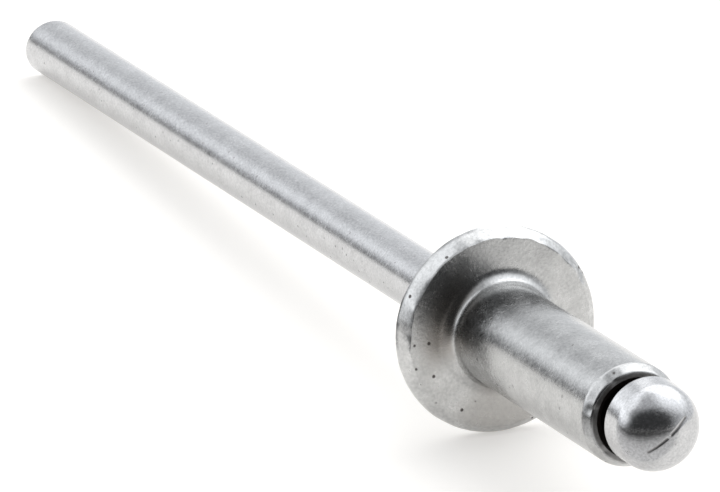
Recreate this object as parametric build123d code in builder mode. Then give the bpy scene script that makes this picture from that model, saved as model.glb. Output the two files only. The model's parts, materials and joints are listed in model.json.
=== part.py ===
"""Open-end blind rivet, 3.2 x 10 mm: a flanged tube on a headed break-stem mandrel.

The rivet lies as it comes to rest, on the rim of its flange and on the tail of its mandrel.
The origin is the centre of the seating face. The blind end points along +X, a little upward.
"""
import os
from math import atan2, cos, degrees, radians, sin, tan

from build123d import *

# Rivet body: the flanged tube that the mandrel sets.
tube_d = 3.2
tube_length = 10.0          # seating face to blind end
tube_end_round = 0.15       # outer edge of the blind end
bore_mouth = 0.25           # countersink where the bore opens at the blind end
root_fillet = 0.35          # tube into seating face
flange_d = 6.5
rim_thickness = 0.6
seat_edge_round = 0.28      # rim, on the side that seats
dome_edge_round = 0.15      # rim, on the domed side
dome_height = 1.0           # seating face to the top of the dome

# Mandrel: the stem that the setting tool pulls until it snaps at the neck.
mandrel_d = 1.9
bore_clearance = 0.05       # all round the mandrel
tail_length = 37.5          # seating face to the middle of the cut tail
tail_cut_angle = 9.0        # the shears leave the tail a little off square
tail_cut_turn = 38.0        # the long side of the cut, from straight down toward -Y
tail_edge_round = 0.2
neck_d = 1.3
neck_flare = 0.4            # length of each cone beside the neck
neck_depth = 1.2            # blind end to the middle of the neck
crimp_depth = 0.1           # bead of the flange's mouth, pressed into a groove round the stem
crimp_width = 0.5
crimp_lead = 0.1            # length of that groove left showing outside the dome
head_d = 2.75               # at its back edge
head_length = 1.78          # back edge to the tip of the nose
head_gap = 0.6              # blind end to the back edge of the head
head_cock = 3.0             # the head droops this much from the stem's axis
head_offset = 0.12          # the head is upset this far off the stem's axis
head_offset_turn = 35.0     # that way, from straight up toward +Y
head_back_round = 0.08
under_head_length = 0.6     # cone from the stem out to the head
under_head_step = 0.12      # flat left between that cone and the head's back edge
nose_length = 1.1           # the nose is half an ellipse beyond the head's short side
nose_d = 2.7

tube_r = tube_d / 2
flange_r = flange_d / 2
mandrel_r = mandrel_d / 2
bore_r = mandrel_r + bore_clearance
neck_r = neck_d / 2
head_r = head_d / 2
nose_r = nose_d / 2

# At rest the lowest points are on the rim, at its domed side, and under the tail.
tail_under = tail_length + mandrel_r * tan(radians(tail_cut_angle)) * cos(radians(tail_cut_turn))
rest_tilt = degrees(atan2(flange_r - mandrel_r, tail_under - rim_thickness))


def upright_plane(origin, tilt):
    """Vertical plane through the stem: its X runs toward the blind end, its Y is a radius."""
    direction = (cos(radians(tilt)), 0, sin(radians(tilt)))
    return Plane(origin=origin, x_dir=direction, z_dir=(0, -1, 0))


def corner(outline, along, radius):
    """The corner of a drawn outline at this place."""
    return outline.vertices().sort_by_distance((along, radius, 0))[0]


stem = upright_plane((0, 0, 0), rest_tilt)
stem_axis = Axis(stem.origin, stem.x_dir)

# The crimp keeps the two pieces together until the rivet is set.
crimp_middle = -dome_height - crimp_lead + crimp_width / 2
crimp_foot = crimp_middle + crimp_width / 2

# The body is one piece of drawn tube with its end upset into a flange.
with BuildPart() as rivet_body:
    with BuildSketch(stem) as half_section:
        with BuildLine():
            dome = TangentArc((-dome_height, bore_r), (-rim_thickness, flange_r), tangent=(0, 1))
            Polyline(
                dome @ 1,
                (0, flange_r),
                (0, tube_r),
                (tube_length, tube_r),
                (tube_length, bore_r + bore_mouth),
                (tube_length - bore_mouth, bore_r),
                (crimp_foot, bore_r),
                (crimp_middle, bore_r - crimp_depth),
                dome @ 0,
            )
        make_face()
        fillet(corner(half_section, 0, tube_r), root_fillet)
        fillet(corner(half_section, 0, flange_r), seat_edge_round)
        fillet(corner(half_section, -rim_thickness, flange_r), dome_edge_round)
        fillet(corner(half_section, tube_length, tube_r), tube_end_round)
    revolve(axis=stem_axis)

rivet_body.part.label = "rivet_body"

# The mandrel is one piece of wire: cut tail, plain stem, break neck inside the tube, upset head.
head_start = tube_length + head_gap
neck_middle = tube_length - neck_depth
stock_end = tail_length + mandrel_d
head_turn = radians(head_offset_turn)
head_back = (head_start, head_offset * cos(head_turn), -head_offset * sin(head_turn))
head_plane = upright_plane(stem.from_local_coords(head_back), rest_tilt - head_cock)
nose_start = head_length - nose_length

cut_tilt = radians(tail_cut_angle)
cut_turn = radians(tail_cut_turn)
tail_facing = (-cos(cut_tilt), sin(cut_tilt) * cos(cut_turn), -sin(cut_tilt) * sin(cut_turn))
tail_cut = Plane(
    origin=stem.from_local_coords((-tail_length, 0, 0)),
    z_dir=stem.from_local_coords(tail_facing),
)

with BuildPart() as mandrel:
    with BuildSketch(stem):
        with BuildLine():
            Polyline(
                (-stock_end, 0),
                (-stock_end, mandrel_r),
                (-dome_height - crimp_lead, mandrel_r),
                (crimp_middle, mandrel_r - crimp_depth),
                (crimp_foot, mandrel_r),
                (neck_middle - neck_flare, mandrel_r),
                (neck_middle, neck_r),
                (neck_middle + neck_flare, mandrel_r),
                (head_start, mandrel_r),
                (head_start, 0),
                close=True,
            )
        make_face()
    revolve(axis=stem_axis)
    split(bisect_by=tail_cut, keep=Keep.BOTTOM)
    fillet(mandrel.faces().sort_by(Axis.X)[0].edges(), tail_edge_round)
    with BuildSketch(head_plane) as head_section:
        with BuildLine():
            EllipticalCenterArc((nose_start, 0), nose_length, nose_r, arc_size=90)
            Polyline(
                (head_length, 0),
                (-under_head_length, 0),
                (-under_head_length, mandrel_r - head_offset),
                (0, head_r - under_head_step),
                (0, head_r),
                (nose_start, nose_r),
            )
        make_face()
        fillet(corner(head_section, 0, head_r), head_back_round)
    revolve(axis=Axis(head_plane.origin, head_plane.x_dir))

mandrel.part.label = "mandrel"

os.makedirs("parts", exist_ok=True)
export_step(rivet_body.part, "parts/rivet_body.step")
export_step(mandrel.part, "parts/mandrel.step")
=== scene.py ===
"""A blind rivet lying on a pale table: a flanged tube on a headed break-stem mandrel."""
import json
import math

import bmesh
import bpy
import numpy as np
from mathutils import Matrix, Vector, noise


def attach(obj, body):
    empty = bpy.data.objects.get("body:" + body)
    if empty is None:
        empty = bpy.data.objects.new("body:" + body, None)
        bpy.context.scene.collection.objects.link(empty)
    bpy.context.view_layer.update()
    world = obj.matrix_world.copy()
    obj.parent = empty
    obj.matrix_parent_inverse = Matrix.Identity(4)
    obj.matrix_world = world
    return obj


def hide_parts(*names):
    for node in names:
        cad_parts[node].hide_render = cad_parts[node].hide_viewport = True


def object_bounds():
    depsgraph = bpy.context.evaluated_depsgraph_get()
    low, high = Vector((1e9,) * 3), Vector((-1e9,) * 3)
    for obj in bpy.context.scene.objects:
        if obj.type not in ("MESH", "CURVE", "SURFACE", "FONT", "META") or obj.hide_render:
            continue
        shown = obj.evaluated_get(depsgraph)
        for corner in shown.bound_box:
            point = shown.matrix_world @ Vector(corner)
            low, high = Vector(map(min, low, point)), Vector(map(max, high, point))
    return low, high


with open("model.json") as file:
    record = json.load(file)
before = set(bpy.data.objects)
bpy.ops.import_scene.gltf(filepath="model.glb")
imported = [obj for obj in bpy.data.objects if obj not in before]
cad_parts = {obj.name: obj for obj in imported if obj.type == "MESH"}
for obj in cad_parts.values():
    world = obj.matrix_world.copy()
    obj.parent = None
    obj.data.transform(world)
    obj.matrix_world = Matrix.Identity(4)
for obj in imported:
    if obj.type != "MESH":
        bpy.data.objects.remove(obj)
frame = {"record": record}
cad_low, cad_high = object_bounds()

# ---------------------------------------------------------------------------------------------
# Rivet body. One piece of drawn tube in a pale alloy, with one end upset into a domed flange.
# It was cold-formed and tumbled, so its skin is dull and faintly mottled, its flange has an
# uneven rolled rim, and the lip of its blind end curls in and has small nicks from the tooling.
# ---------------------------------------------------------------------------------------------
# Sizes are in millimetres, from where the axis meets the flange's seat, along the tube and out.
MM = 0.001
tube_radius = 1.6
tube_length = 10.0
lip_length = 0.36
lip_radius = 1.43
lip_bend = 0.25
lip_round = 0.12
bore_radius = 1.0
bore_mouth = 0.25
root_fillet = 0.45
flange_radius = 3.25
rim_thickness = 0.6
rim_bevel = 0.235
bevel_round = 0.3
bevel_radius = 2.975
seat_fall = 0.02
dome_edge_round = 0.15
dome_height = 1.0
dome_border = 0.3
dome_rings = 24
crimp_depth = 0.1
crimp_width = 0.5
crimp_lead = 0.1

# The rivet's own directions: along the tube, up when it lies on the table, and to its side.
mounts = {mount["name"]: mount for mount in frame["record"]["mounts"]}
along_axis = Vector(mounts["tube"]["axis"])
side_axis = Vector((0, -1, 0))
up_axis = side_axis.cross(along_axis)
rivet_to_row = Matrix((along_axis, up_axis, side_axis)).transposed()


def rounded(corners, steps=10):
    """Points of an outline whose corners are (along, radius, round), with an arc at each round."""
    points = []
    for index, (along, radius, round_radius) in enumerate(corners):
        corner = np.array((along, radius))
        if not round_radius:
            points.append(corner)
            continue
        before = np.array(corners[index - 1][:2]) - corner
        after = np.array(corners[(index + 1) % len(corners)][:2]) - corner
        before /= np.linalg.norm(before)
        after /= np.linalg.norm(after)
        half_angle = math.acos(np.clip(before @ after, -1, 1)) / 2
        middle = (before + after) / np.linalg.norm(before + after)
        centre = corner + middle * round_radius / math.sin(half_angle)
        start = corner + before * round_radius / math.tan(half_angle) - centre
        end = corner + after * round_radius / math.tan(half_angle) - centre
        sweep = math.pi - 2 * half_angle
        for step in range(steps + 1):
            share = step / steps
            weight = np.array((math.sin((1 - share) * sweep), math.sin(share * sweep))) / math.sin(sweep)
            points.append(centre + weight[0] * start + weight[1] * end)
    return points


def ringed(points, longest, closed):
    """The same outline with rings added, so that no step is longer than longest(along, radius)."""
    rings = []
    pairs = zip(points, points[1:] + points[:1] if closed else points[1:])
    for start, end in pairs:
        parts = max(1, math.ceil(np.linalg.norm(end - start) / longest(*(start + end) / 2)))
        rings += [start + (end - start) * part / parts for part in range(parts)]
    return np.array(rings if closed else rings + [points[-1]])


sides = 288
sharp_corner = math.radians(38)


def turned(name, rings, closed, wear):
    """A mesh of rings round the rivet's axis, after wear() has moved its points."""
    turns = np.linspace(0, 2 * math.pi, sides, endpoint=False)
    along = np.repeat(rings[:, :1], sides, axis=1)
    radius = np.repeat(rings[:, 1:], sides, axis=1)
    turn = np.repeat(turns[None, :], len(rings), axis=0)
    ahead = np.roll(rings, -1, axis=0) - np.roll(rings, 1, axis=0)
    if not closed:
        ahead[0], ahead[-1] = (0, 1), (0, -1)
    outward = np.stack((-ahead[:, 1], ahead[:, 0]), axis=1)
    outward /= np.linalg.norm(outward, axis=1)[:, None]
    points = wear(along, radius, turn, outward)
    count = len(rings)
    mesh = bpy.data.meshes.new(name)
    build = bmesh.new()
    row_points = points.reshape(-1, 3) @ np.array(rivet_to_row.transposed()) * MM
    grid = []
    for ring in range(count):
        first = ring * sides
        if not closed and ring in (0, count - 1):
            tip = build.verts.new(row_points[first : first + sides].mean(axis=0))
            grid.append([tip] * sides)
        else:
            grid.append([build.verts.new(point) for point in row_points[first : first + sides]])
    for ring in range(count if closed else count - 1):
        near, far = grid[ring], grid[(ring + 1) % count]
        for side in range(sides):
            after = (side + 1) % sides
            face = [near[side], near[after], far[after], far[side]]
            build.faces.new(list(dict.fromkeys(face)))
    bmesh.ops.recalc_face_normals(build, faces=build.faces)
    build.to_mesh(mesh)
    build.free()
    mesh.shade_smooth()
    mesh.set_sharp_from_angle(angle=sharp_corner)
    piece = bpy.data.objects.new(name, mesh)
    bpy.context.scene.collection.objects.link(piece)
    return piece


def degrees_from(turn, place):
    """How far each turn is from this place round the axis, in degrees."""
    return np.degrees(np.angle(np.exp(1j * (turn - math.radians(place)))))


def ripple(along, radius, turn, size, seed):
    """Smooth unevenness from 0 to 1 over the turned surface, with bumps about this size."""
    x = along / size + seed
    y = radius * np.cos(turn) / size
    z = radius * np.sin(turn) / size
    flat = [noise.noise(Vector(point)) for point in zip(x.ravel(), y.ravel(), z.ravel())]
    return np.clip(np.array(flat).reshape(along.shape) * 0.7 + 0.5, 0, 1)


def cartesian(along, radius, turn):
    """Points as along, up and side, from their places round the axis."""
    return np.stack((along, radius * np.cos(turn), radius * np.sin(turn)), axis=-1)


def soft_step(value, low, high):
    """0 up to 1, smoothly, as value goes from low to high."""
    share = np.clip((value - low) / (high - low), 0, 1)
    return share * share * (3 - 2 * share)


dome_radius = (
    (dome_height - rim_thickness) ** 2 + (flange_radius - bore_radius) ** 2
) / (2 * (dome_height - rim_thickness))
dome = [
    (-dome_height + dome_radius - math.sqrt(dome_radius**2 - (radius - bore_radius) ** 2), radius, 0)
    for radius in np.linspace(bore_radius, flange_radius - dome_border, dome_rings)
]
crimp_middle = -dome_height - crimp_lead + crimp_width / 2
body_corners = dome + [
    (-rim_thickness, flange_radius, dome_edge_round),
    (-rim_bevel, flange_radius, bevel_round),
    (-seat_fall, bevel_radius, 0),
    (0, tube_radius, root_fillet),
    (tube_length - lip_length, tube_radius, lip_bend),
    (tube_length, lip_radius, lip_round),
    (tube_length, bore_radius + bore_mouth, 0),
    (tube_length - bore_mouth, bore_radius, 0),
    (crimp_middle + crimp_width / 2, bore_radius, 0),
    (crimp_middle, bore_radius - crimp_depth, 0),
]
# How deep each kind of wear is, and about how wide its bumps are.
skin_depth, skin_bump = 0.004, 0.7
rim_depth, rim_bump = 0.022, 0.5
hem_depth, hem_bump, hem_width = 0.07, 0.4, 0.08
lip_depth, lip_bump = 0.012, 0.3
# Each nick's place and width in degrees round the lip, and its depth.
lip_nicks = [(28, 6.0, 0.03), (73, 6.0, 0.035), (131, 5.0, 0.02), (250, 6.0, 0.03)]
# One side of the rim was rolled further back than the rest: its place, half width and fade in
# degrees round the rim, and how far back it went.
rolled_place, rolled_half, rolled_fade = 40, 75, 30
rolled_back = 0.27


def body_wear(along, radius, turn, outward):
    """The body's points, with an uneven skin, a rolled rim, a wavy edge to its seat and a nicked lip."""
    skin = skin_depth * ripple(along, radius, turn, skin_bump, seed=3.0)
    rim = soft_step(radius, bevel_radius - 0.02, bevel_radius + 0.12)
    skin += rim_depth * rim * ripple(along, radius, turn, rim_bump, seed=11.0)
    hem = np.exp(-(((radius - bevel_radius) / hem_width) ** 2)) * (along > -rim_bevel)
    radius = radius + hem_depth * hem * (ripple(along, radius, turn, hem_bump, seed=19.0) - 0.6)
    from_rolled = np.abs(degrees_from(turn, rolled_place))
    rolled = soft_step(-from_rolled, -rolled_half, rolled_fade - rolled_half)
    rolled = rolled * (radius > bevel_radius - 0.01)
    behind = soft_step(-along, seat_fall, rim_bevel) * soft_step(along, -rim_thickness - 0.05, -rim_bevel)
    along = along - rolled_back * rolled * behind
    lip = soft_step(along, tube_length - 0.35, tube_length - 0.05) * (radius > bore_radius + 0.3)
    skin += lip_depth * lip * ripple(along, radius, turn, lip_bump, seed=27.0)
    for place, width, depth in lip_nicks:
        skin += depth * lip * np.exp(-((degrees_from(turn, place) / width) ** 2))
    return cartesian(
        along - skin * outward[:, :1],
        radius - skin * outward[:, 1:],
        turn,
    )


bore_step, wall_step, flange_step = 0.4, 0.08, 0.04


def body_steps(along, radius):
    """The longest step between rings: long in the bore, and short on the flange."""
    if radius < bore_radius + 0.05 and along < tube_length - 0.5:
        return bore_step
    return wall_step if radius < tube_radius + 0.1 else flange_step


body_rings = ringed(rounded(body_corners), body_steps, closed=True)
flanged_tube = turned("flanged_tube", body_rings, True, body_wear)


def node(tree, kind, inputs=None, **settings):
    """A new shader node with its settings and its inputs, which are values or sockets."""
    made = tree.nodes.new(kind)
    for name, value in settings.items():
        setattr(made, name, value)
    for name, value in (inputs or {}).items():
        if isinstance(value, bpy.types.NodeSocket):
            tree.links.new(value, made.inputs[name])
        else:
            made.inputs[name].default_value = value
    return made


def maths(tree, operation, *values):
    return node(tree, "ShaderNodeMath", dict(enumerate(values)), operation=operation).outputs[0]


def times(tree, *values):
    """The product of these values."""
    product = values[0]
    for value in values[1:]:
        product = maths(tree, "MULTIPLY", product, value)
    return product


def dot(tree, vector, way):
    """How far a vector reaches this way."""
    return node(tree, "ShaderNodeVectorMath", {0: vector, 1: way}, operation="DOT_PRODUCT").outputs["Value"]


def object_spot(tree):
    """Where a point lies on the piece, in metres."""
    return node(tree, "ShaderNodeTexCoord").outputs["Object"]


def span(tree, value, low, high, start=0.0, end=1.0):
    """start up to end, smoothly, as value goes from low to high."""
    inputs = {"Value": value, "From Min": low, "From Max": high, "To Min": start, "To Max": end}
    return node(tree, "ShaderNodeMapRange", inputs, interpolation_type="SMOOTHSTEP").outputs["Result"]


def effect(name, inputs, outputs):
    """An empty node group with these float inputs, {name: value}, and float outputs."""
    tree = bpy.data.node_groups.new(name, "ShaderNodeTree")
    for label, value in inputs.items():
        socket = tree.interface.new_socket(label, in_out="INPUT", socket_type="NodeSocketFloat")
        socket.default_value = value
    for label in outputs:
        tree.interface.new_socket(label, in_out="OUTPUT", socket_type="NodeSocketFloat")
    return tree, tree.nodes.new("NodeGroupInput"), tree.nodes.new("NodeGroupOutput")


# Where a point lies on the rivet, in millimetres: how far along, and how far from the axis.
place_on_rivet, _, place_out = effect("place_on_rivet", {}, ("Along", "Radius"))
spot = object_spot(place_on_rivet)
far_along, above, beside = (
    dot(place_on_rivet, spot, axis / MM) for axis in (along_axis, up_axis, side_axis)
)
squares = [times(place_on_rivet, part, part) for part in (above, beside)]
from_axis = maths(place_on_rivet, "SQRT", maths(place_on_rivet, "ADD", *squares))
place_on_rivet.links.new(far_along, place_out.inputs["Along"])
place_on_rivet.links.new(from_axis, place_out.inputs["Radius"])

# Tarnish: cloudy patches and fine grain on bare metal, as a shade round 1 and a height.
tarnish, tarnish_in, tarnish_out = effect(
    "tarnish",
    {"Patch size": 0.5, "Grain size": 0.08, "Patch depth": 0.1, "Grain depth": 0.1},
    ("Shade", "Height"),
)
spot = object_spot(tarnish)
cloud_contrast = 2.2
layers = []
for size, depth, detail in (("Patch size", "Patch depth", 3.0), ("Grain size", "Grain depth", 2.0)):
    scale = maths(tarnish, "DIVIDE", 1 / MM, tarnish_in.outputs[size])
    cloud = node(
        tarnish, "ShaderNodeTexNoise", {"Vector": spot, "Scale": scale, "Detail": detail, "Roughness": 0.55}
    ).outputs["Fac"]
    centred = maths(tarnish, "MULTIPLY_ADD", cloud, cloud_contrast, -cloud_contrast / 2)
    layers.append(times(tarnish, centred, tarnish_in.outputs[depth]))
together = maths(tarnish, "ADD", *layers)
tarnish.links.new(maths(tarnish, "ADD", together, 1.0), tarnish_out.inputs["Shade"])
tarnish.links.new(together, tarnish_out.inputs["Height"])

# Specks: small round pits and bits of dirt, scattered at random.
specks, specks_in, specks_out = effect(
    "specks", {"Spacing": 0.6, "Size": 0.05, "Share": 0.3}, ("Mask",)
)
cell_scale = maths(specks, "DIVIDE", 1 / MM, specks_in.outputs["Spacing"])
cells = node(specks, "ShaderNodeTexVoronoi", {"Vector": object_spot(specks), "Scale": cell_scale})
reach = maths(specks, "DIVIDE", specks_in.outputs["Size"], specks_in.outputs["Spacing"])
disc = span(specks, maths(specks, "DIVIDE", cells.outputs["Distance"], reach), 0.6, 1.0, 1.0, 0.0)
draw = node(specks, "ShaderNodeSeparateColor", {"Color": cells.outputs["Color"]}).outputs["Red"]
chosen = maths(specks, "LESS_THAN", draw, specks_in.outputs["Share"])
specks.links.new(times(specks, disc, chosen), specks_out.inputs["Mask"])


def bare_metal(name, colour, roughness):
    """A bare metal, and the tree and the shader that its own marks are added to."""
    metal = bpy.data.materials.new(name)
    metal.use_nodes = True
    tree = metal.node_tree
    shader = tree.nodes["Principled BSDF"]
    shader.inputs["Metallic"].default_value = 1.0
    shader.inputs["Roughness"].default_value = roughness
    shader.inputs["Base Color"].default_value = (*colour, 1)
    return metal, tree, shader


def shaded(tree, colour, shade):
    """colour times shade, as a colour."""
    made = node(tree, "ShaderNodeVectorMath", {0: colour, "Scale": shade}, operation="SCALE")
    return made.outputs["Vector"]


def blended(tree, share, first, second):
    """The first colour, turning into the second as share goes from 0 to 1."""
    made = node(tree, "ShaderNodeMix", {"Factor": share}, data_type="RGBA")
    for socket, value in zip((made.inputs[6], made.inputs[7]), (first, second)):
        if isinstance(value, bpy.types.NodeSocket):
            tree.links.new(value, socket)
        else:
            socket.default_value = (*value, 1)
    return made.outputs[2]


def placed(tree, group, **values):
    """A node that puts this group into a material, with its own values."""
    made = node(tree, "ShaderNodeGroup", node_tree=group)
    for name, value in values.items():
        made.inputs[name.replace("_", " ")].default_value = value
    return made


alloy_colour = (0.52, 0.52, 0.515)
alloy_roughness = 0.24
# The dark colour of the dirt in the pits, also used for painted shade at the tube's end, in the bore and in
# the gap under the head.
dirt_and_shade_colour = (0.06, 0.05, 0.045)
dirt_and_shade_roughness = 0.4
fine_relief = 0.01 * MM
# Each patch of brown stain and painted shade on the seat: its place round the seat, the cosines where it
# starts and is full, its depth, and the radii between which it fades in.
stain_and_shade_colour = (0.2, 0.175, 0.15)
stains_and_shade = (
    (math.radians(70), 0.62, 0.96, 0.7, (3.0, 2.1)),
    (math.radians(182), 0.75, 0.98, 0.35, (3.1, 2.9)),
)
alloy, tree, shader = bare_metal("dull_alloy", alloy_colour, alloy_roughness)
place = placed(tree, place_on_rivet)
along, radius = place.outputs["Along"], place.outputs["Radius"]
film = placed(tree, tarnish, Patch_size=0.6, Grain_size=0.1, Patch_depth=0.24, Grain_depth=0.3)
dots = placed(tree, specks, Spacing=0.6, Size=0.06, Share=0.25)
pits = placed(tree, specks, Spacing=0.5, Size=0.07, Share=0.5)
# The dirt in the dots, and in the larger pits, which are deepest on the flange.
on_flange = span(tree, along, 0.8, 0.3, 0.3, 0.8)
pitted = maths(
    tree, "MAXIMUM", times(tree, dots.outputs["Mask"], 0.75), times(tree, pits.outputs["Mask"], on_flange)
)
# The tube's end face and bore are painted darker: painted shade in the gap under the mandrel's head and
# down the bore.
end_face_shade = times(
    tree,
    span(tree, along, tube_length - 0.08, tube_length - 0.01, 0.0, 0.5),
    span(tree, radius, lip_radius, lip_radius - 0.08),
)
bore_shade = times(
    tree,
    span(tree, radius, bore_radius + 0.3, bore_radius + 0.2),
    span(tree, along, 0.5, 1.0),
)
# Dirt in the pits, with painted shade at the tube's end and in the bore.
dirt_and_shade = maths(tree, "MAXIMUM", pitted, maths(tree, "MAXIMUM", end_face_shade, bore_shade))
# The tube's wall keeps a duller skin than the flange, which the dies pressed bright.
pressed = span(tree, along, 0.3, 0.8, 1.0, 0.9)
metal_colour = shaded(tree, alloy_colour, times(tree, film.outputs["Shade"], pressed))
# A brown stain with painted shade lies on one side of the seat, thickest beside the tube, and a fainter one
# below.
spot = object_spot(tree)
seat_stains_and_shade = []
# Each patch is part stain and part painted shade.
for stain_and_shade_turn, starts, full, depth, fade_radii in stains_and_shade:
    stain_and_shade_way = rivet_to_row @ Vector((0, math.cos(stain_and_shade_turn), math.sin(stain_and_shade_turn)))
    share = maths(tree, "DIVIDE", dot(tree, spot, stain_and_shade_way / MM), radius)
    inward = span(tree, radius, *fade_radii)
    seat_stains_and_shade.append(times(tree, span(tree, share, starts, full, 0.0, depth), inward))
on_seat = span(tree, along, 0.25, 0.1)
stain_and_shade = times(tree, maths(tree, "MAXIMUM", *seat_stains_and_shade), on_seat, film.outputs["Shade"])
metal_colour = blended(tree, stain_and_shade, metal_colour, stain_and_shade_colour)
tree.links.new(blended(tree, dirt_and_shade, metal_colour, dirt_and_shade_colour), shader.inputs["Base Color"])
roughness = maths(tree, "MULTIPLY_ADD", film.outputs["Height"], 0.25, alloy_roughness)
roughness = maths(tree, "MULTIPLY_ADD", dirt_and_shade, dirt_and_shade_roughness, roughness)
tree.links.new(roughness, shader.inputs["Roughness"])
height = maths(tree, "SUBTRACT", film.outputs["Height"], pitted)
bump = node(tree, "ShaderNodeBump", {"Height": height, "Strength": 0.35, "Distance": fine_relief})
tree.links.new(bump.outputs["Normal"], shader.inputs["Normal"])

flanged_tube.data.materials.append(alloy)
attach(flanged_tube, "root")
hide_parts("rivet_body")

# ---------------------------------------------------------------------------------------------
# Mandrel. One length of drawn bright steel wire. Its tail was sheared a little off square, and
# its head was upset between two dies, which polished it and left a thin line over the nose.
# The crimped mouth of the flange holds it, and it snaps at the neck when the rivet is set.
# ---------------------------------------------------------------------------------------------
stem_radius = 0.95
tail_length = 37.49
tail_cut = math.radians(9)
tail_long_side = math.radians(142)
tail_round = 0.2
neck_radius = 0.65
neck_flare = 0.4
neck_depth = 1.2
head_radius = 1.375
head_length = 1.78
head_gap = 0.6
head_droop = math.radians(3)
head_offset = 0.12
head_offset_turn = math.radians(-35)
head_back_round = 0.08
under_head = 0.6
under_head_step = 0.12
nose_length = 1.1
nose_radius = 1.35
nose_rings = 60

head_start = tube_length + head_gap
neck_middle = tube_length - neck_depth
nose_start = head_start + head_length - nose_length
nose = [
    (nose_start + nose_length * math.sin(angle), nose_radius * math.cos(angle), 0)
    for angle in np.linspace(0, math.pi / 2, nose_rings)[:-1]
]
mandrel_corners = [
    (-tail_length, 0, 0),
    (-tail_length, stem_radius, tail_round),
    (-dome_height - crimp_lead, stem_radius, 0),
    (crimp_middle, stem_radius - crimp_depth, 0),
    (crimp_middle + crimp_width / 2, stem_radius, 0),
    (neck_middle - neck_flare, stem_radius, 0),
    (neck_middle, neck_radius, 0),
    (neck_middle + neck_flare, stem_radius, 0),
    (head_start - under_head, stem_radius, 0),
    (head_start, head_radius - under_head_step, 0),
    (head_start, head_radius, head_back_round),
    *nose,
    (head_start + head_length, 0, 0),
]
# The line that the dies left over the nose: which way it faces, how far it passes the tip, how
# far it reaches each side, the break in its middle, and its width and depth.
line_turn = math.radians(37.4)
line_shift = 0.055
line_reach = 0.82
line_fade = 0.12
line_break = 0.065
line_half_width = 0.04
line_depth = 0.02


def nose_line(points):
    """How deep each point of the nose lies in the line that the dies left, from 0 to 1."""
    from_tip = points - np.array((head_start + head_length, 0, 0))
    away = from_tip[..., 1] * math.cos(line_turn) + from_tip[..., 2] * math.sin(line_turn)
    across = from_tip[..., 2] * math.cos(line_turn) - from_tip[..., 1] * math.sin(line_turn)
    reach = soft_step(-np.abs(across), -line_reach, line_fade - line_reach)
    reach = reach * (from_tip[..., 0] > -nose_length)
    gap = 1 - np.exp(-((across / line_break) ** 2))
    return np.exp(-(((away - line_shift) / line_half_width) ** 2)) * reach * gap


stem_skin_depth, stem_skin_bump = 0.003, 0.8


def mandrel_wear(along, radius, turn, outward):
    """The mandrel's points, with an uneven skin, a slanted tail, a lined nose and a leaning head."""
    skin = stem_skin_depth * ripple(along, radius, turn, stem_skin_bump, seed=41.0)
    points = cartesian(along - skin * outward[:, :1], radius - skin * outward[:, 1:], turn)
    lean = radius * np.cos(turn - tail_long_side) * math.tan(tail_cut)
    points[..., 0] -= lean * soft_step(-along, tail_length - 1.2, tail_length - 0.3)
    groove = nose_line(points) * line_depth
    points -= groove[..., None] * np.stack(
        (
            np.broadcast_to(outward[:, :1], along.shape),
            outward[:, 1:] * np.cos(turn),
            outward[:, 1:] * np.sin(turn),
        ),
        axis=-1,
    )
    upset = soft_step(along, head_start - under_head, head_start - 0.05)
    droop = head_droop * upset
    ahead = points[..., 0] - head_start
    above = points[..., 1].copy()
    points[..., 0] = head_start + ahead * np.cos(droop) + above * np.sin(droop)
    points[..., 1] = above * np.cos(droop) - ahead * np.sin(droop)
    points[..., 1] += head_offset * math.cos(head_offset_turn) * upset
    points[..., 2] += head_offset * math.sin(head_offset_turn) * upset
    return points


head_step, stem_step, tail_step = 0.03, 0.3, 0.08


def mandrel_steps(along, radius):
    """The longest step between rings: short on the head and the tail, and long between them."""
    if along > head_start - 0.1:
        return head_step
    return stem_step if along > -tail_length + 1.5 else tail_step


mandrel_rings = ringed(rounded(mandrel_corners), mandrel_steps, closed=False)
break_stem = turned("break_stem", mandrel_rings, False, mandrel_wear)

# The same line for its dirt: the tip of the nose, and the directions across and along the line.
tip_ahead = head_length * math.cos(head_droop)
tip_below = head_length * math.sin(head_droop)
nose_tip = rivet_to_row @ Vector(
    (
        head_start + tip_ahead,
        head_offset * math.cos(head_offset_turn) - tip_below,
        head_offset * math.sin(head_offset_turn),
    )
)
nose_up = Vector((math.sin(head_droop), math.cos(head_droop), 0))
nose_side = Vector((0, 0, 1))
over_line = rivet_to_row @ (nose_up * math.cos(line_turn) + nose_side * math.sin(line_turn))
down_line = rivet_to_row @ (nose_side * math.cos(line_turn) - nose_up * math.sin(line_turn))

steel_colour = (0.535, 0.535, 0.54)
steel_roughness = 0.24
head_polish = -0.03
steel, tree, shader = bare_metal("bright_steel", steel_colour, steel_roughness)
along = placed(tree, place_on_rivet).outputs["Along"]
film = placed(tree, tarnish, Patch_size=0.7, Grain_size=0.08, Patch_depth=0.16, Grain_depth=0.3)
dots = placed(tree, specks, Spacing=0.3, Size=0.05, Share=0.35)
on_head = span(tree, along, head_start - 0.1, head_start + 0.3)
# Painted shade darkens the gap under the head, and the line over the nose is darker too.
gap_shade = times(
    tree,
    span(tree, along, tube_length - 1.5, tube_length - 1.0),
    span(tree, along, head_start + 0.02, head_start - 0.06),
)
spot = object_spot(tree)
from_tip = node(tree, "ShaderNodeVectorMath", {0: spot, 1: nose_tip * MM}, operation="SUBTRACT")
from_tip = from_tip.outputs["Vector"]
off_line = maths(tree, "SUBTRACT", dot(tree, from_tip, over_line / MM), line_shift)
off_line = maths(tree, "ABSOLUTE", off_line)
from_middle = maths(tree, "ABSOLUTE", dot(tree, from_tip, down_line / MM))
line_darkening = times(
    tree,
    span(tree, off_line, 0.075, 0.01, 0.0, 0.6),
    span(tree, from_middle, line_reach, line_reach - 0.08),
    span(tree, from_middle, 0.045, 0.075),
    on_head,
)
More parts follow.
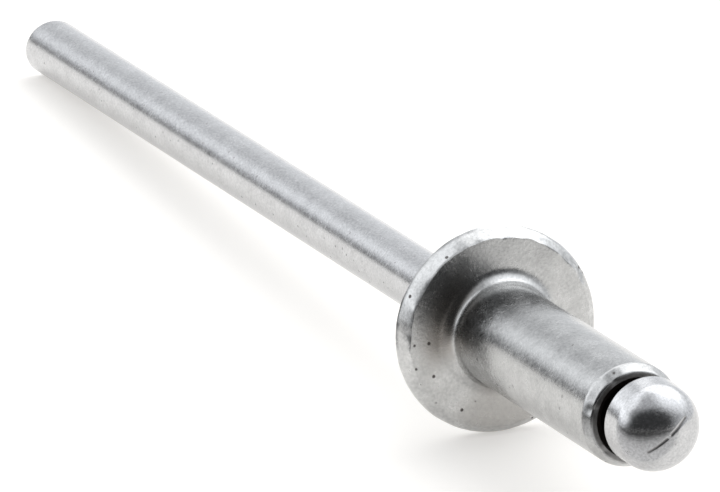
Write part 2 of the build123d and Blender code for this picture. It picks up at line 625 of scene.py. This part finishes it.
# The polished head has shallower pits than the stem.
pitted = times(tree, dots.outputs["Mask"], maths(tree, "MULTIPLY_ADD", on_head, -0.2, 0.4))
# Dirt in the pits, with painted shade in the gap under the head and a darker line over the nose.
dirt_and_shade = maths(tree, "MAXIMUM", maths(tree, "MAXIMUM", pitted, gap_shade), line_darkening)
metal_colour = shaded(tree, steel_colour, film.outputs["Shade"])
tree.links.new(blended(tree, dirt_and_shade, metal_colour, dirt_and_shade_colour), shader.inputs["Base Color"])
roughness = maths(tree, "MULTIPLY_ADD", on_head, head_polish, steel_roughness)
roughness = maths(tree, "MULTIPLY_ADD", film.outputs["Height"], 0.2, roughness)
roughness = maths(tree, "MULTIPLY_ADD", dirt_and_shade, dirt_and_shade_roughness, roughness)
tree.links.new(roughness, shader.inputs["Roughness"])
height = maths(tree, "SUBTRACT", film.outputs["Height"], pitted)
bump = node(tree, "ShaderNodeBump", {"Height": height, "Strength": 0.3, "Distance": fine_relief})
tree.links.new(bump.outputs["Normal"], shader.inputs["Normal"])

break_stem.data.materials.append(steel)
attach(break_stem, "root")
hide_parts("mandrel")

# ---------------------------------------------------------------------------------------------
# Table and light tent. The rivet lies on a pale matt table inside a tent of pale cloth, with a
# softbox over its back half. The front of the tent is open for the camera, so it is dark there,
# and a glowing card lies in front, where only the metal's reflections show it: a painted
# reflection that fades from pale to black away from the rivet. Metres from here.
# ---------------------------------------------------------------------------------------------
table_half = 0.8
table_height = cad_low.z
table_colour = (0.74, 0.72, 0.69)
table_glow_colour = (1, 0.985, 0.965)
table_glow = 0.4


def flat_sheet(name, corners):
    """A sheet with these four corners."""
    mesh = bpy.data.meshes.new(name)
    mesh.from_pydata(corners, [], [(0, 1, 2, 3)])
    sheet = bpy.data.objects.new(name, mesh)
    bpy.context.scene.collection.objects.link(sheet)
    return sheet


square = ((-1, -1), (1, -1), (1, 1), (-1, 1))
table = flat_sheet("table", [(x * table_half, y * table_half, table_height) for x, y in square])
pale = bpy.data.materials.new("pale_table")
pale.use_nodes = True
tree = pale.node_tree
shader = tree.nodes["Principled BSDF"]
shader.inputs["Base Color"].default_value = (*table_colour, 1)
shader.inputs["Roughness"].default_value = 0.9
shader.inputs["Specular IOR Level"].default_value = 0.0
path = node(tree, "ShaderNodeLightPath")
seen = maths(tree, "MAXIMUM", path.outputs["Is Camera Ray"], path.outputs["Is Glossy Ray"])
seen = maths(tree, "MAXIMUM", seen, path.outputs["Is Transmission Ray"])
shader.inputs["Emission Color"].default_value = (*table_glow_colour, 1)
tree.links.new(times(tree, seen, table_glow), shader.inputs["Emission Strength"])
table.data.materials.append(pale)

tent = bpy.data.worlds.new("light_tent")
bpy.context.scene.world = tent
tent.use_nodes = True
tree = tent.node_tree
direction = node(tree, "ShaderNodeTexCoord").outputs["Generated"]
heading = node(tree, "ShaderNodeSeparateXYZ", {0: direction})
rise = heading.outputs["Z"]


def facing(tree, azimuth, elevation=0.0):
    """How nearly each direction is this one: the cosine of the angle between them."""
    azimuth, elevation = math.radians(azimuth), math.radians(elevation)
    level = math.cos(elevation)
    return dot(tree, direction, (level * math.cos(azimuth), level * math.sin(azimuth), math.sin(elevation)))


def wall(tree, rise, stops):
    """The tent's brightness by height, from (rise, brightness) stops."""
    ramp = node(tree, "ShaderNodeValToRGB", {"Fac": rise})
    ramp.color_ramp.interpolation = "EASE"
    points = ramp.color_ramp.elements
    while len(points) < len(stops):
        points.new(0.5)
    for point, (place, level) in zip(points, stops):
        point.position = place
        point.color = (level, level, level, 1)
    return ramp.outputs["Color"]


def over(tree, share, below, above):
    """The first brightness, turning into the second as share goes from 0 to 1."""
    made = node(tree, "ShaderNodeMix", {"Factor": share}, data_type="FLOAT")
    for socket, value in ((made.inputs[2], below), (made.inputs[3], above)):
        if isinstance(value, bpy.types.NodeSocket):
            tree.links.new(value, socket)
        else:
            socket.default_value = value
    return made.outputs[0]


left_stops = (
    (0.0, 0.22),
    (0.1, 0.25),
    (0.18, 0.7),
    (0.25, 1.05),
    (0.35, 1.05),
    (0.42, 0.56),
    (0.6, 0.54),
    (0.8, 0.65),
)
right_stops = ((0.0, 0.8), (0.3, 0.54), (0.5, 0.52), (0.75, 0.65))
side_wall = over(
    tree,
    span(tree, heading.outputs["Y"], -0.2, 0.15),
    wall(tree, rise, left_stops),
    wall(tree, rise, right_stops),
)
# Light comes through the cloth at the back, at the left, low on the left and high on the right.
back_light = span(tree, facing(tree, 128, 42), 0.45, 1.0)
left_light = span(tree, facing(tree, -132, 38), 0.79, 0.95)
low_light = times(tree, span(tree, facing(tree, -112, 16), 0.86, 0.97), 0.7)
high_light = span(tree, facing(tree, 75, 50), 0.7, 0.97)
bright = maths(tree, "MULTIPLY_ADD", back_light, 0.55, side_wall)
bright = maths(tree, "MULTIPLY_ADD", maths(tree, "MAXIMUM", left_light, low_light), 0.95, bright)
bright = maths(tree, "MULTIPLY_ADD", high_light, 0.8, bright)
# The opening is wider than it is high, and it reaches down to the table.
opening_middle, opening_side = -25, 65
opening_half_width, opening_half_height, opening_rise = 0.98, 0.8, 0.1
opening_dark = 0.05
sideways = maths(tree, "DIVIDE", facing(tree, opening_side), opening_half_width)
upward = maths(tree, "DIVIDE", maths(tree, "SUBTRACT", rise, opening_rise), opening_half_height)
from_opening = maths(tree, "ADD", times(tree, sideways, sideways), times(tree, upward, upward))
opening = times(
    tree, span(tree, from_opening, 1.04, 0.5), span(tree, facing(tree, opening_middle), -0.05, 0.2)
)
tent_colour = (0.975, 1.0, 1.035)
tent_light = shaded(tree, tent_colour, over(tree, opening, bright, opening_dark))
background = tree.nodes["Background"]
tree.links.new(tent_light, background.inputs["Color"])
background.inputs["Strength"].default_value = 1.0

softbox = bpy.data.lights.new("softbox", "AREA")
softbox.shape = "ELLIPSE"
softbox.size = 0.7
softbox.size_y = 0.5
softbox_brightness = 0.8
softbox_area = softbox.size * softbox.size_y * math.pi / 4
softbox.energy = softbox_brightness * math.pi * softbox_area
softbox_lamp = bpy.data.objects.new("softbox", softbox)
softbox_lamp.location = (-0.22, 0.24, 0.4)
softbox_lamp.rotation_euler = softbox_lamp.location.to_track_quat("Z", "Y").to_euler()
bpy.context.scene.collection.objects.link(softbox_lamp)

card_start, card_end, card_half = 0.0095, 0.3, 0.2
card_height = table_height + 0.00005
card_azimuth = math.radians(-45)
card_pale_at, card_black_at = 0.0085, 0.0305
card_pale, card_black = 0.85, 0.06
along_card = Vector((math.cos(card_azimuth), math.sin(card_azimuth), 0))
across_card = Vector((0, 0, 1)).cross(along_card)
card_ends = ((card_start, -1), (card_end, -1), (card_end, 1), (card_start, 1))
card_corners = [
    along_card * reach + across_card * side * card_half + Vector((0, 0, card_height))
    for reach, side in card_ends
]
# The card glows and only reflections see it: a painted reflection, pale near the rivet and dark further
# out.
card = flat_sheet("painted_reflection_card", card_corners)
card.visible_camera = False
card.visible_diffuse = False
card.visible_shadow = False
reflection_card_material = bpy.data.materials.new("painted_reflection_card")
reflection_card_material.use_nodes = True
tree = reflection_card_material.node_tree
reach = dot(tree, object_spot(tree), along_card)
shader = tree.nodes["Principled BSDF"]
shader.inputs["Base Color"].default_value = (0, 0, 0, 1)
shader.inputs["Specular IOR Level"].default_value = 0.0
shader.inputs["Emission Color"].default_value = (1, 1, 1, 1)
card_glow = span(tree, reach, card_pale_at, card_black_at, card_pale, card_black)
tree.links.new(card_glow, shader.inputs["Emission Strength"])
card.data.materials.append(reflection_card_material)

# ---------------------------------------------------------------------------------------------
# Camera, with a long lens, a little above the table and ahead of the blind end. It looks at a
# point part of the way along the rivet, and its azimuth is counted from -Y toward +X.
# ---------------------------------------------------------------------------------------------
camera_azimuth = math.radians(67.136)
camera_elevation = math.radians(19.404)
camera_distance = 0.35981
camera_target = Vector((-0.011011, 0.0, -0.000799))
away = Vector(
    (
        math.sin(camera_azimuth) * math.cos(camera_elevation),
        -math.cos(camera_azimuth) * math.cos(camera_elevation),
        math.sin(camera_elevation),
    )
)
lens = bpy.data.cameras.new("camera")
lens.sensor_width = 36.0
lens.lens = 575.9
lens.clip_start = 0.01
lens.clip_end = 10.0
camera = bpy.data.objects.new("camera", lens)
camera.location = camera_target + away * camera_distance
camera.rotation_euler = away.to_track_quat("Z", "Y").to_euler()
bpy.context.scene.collection.objects.link(camera)
bpy.context.scene.camera = camera
bpy.context.scene.view_settings.view_transform = "Standard"
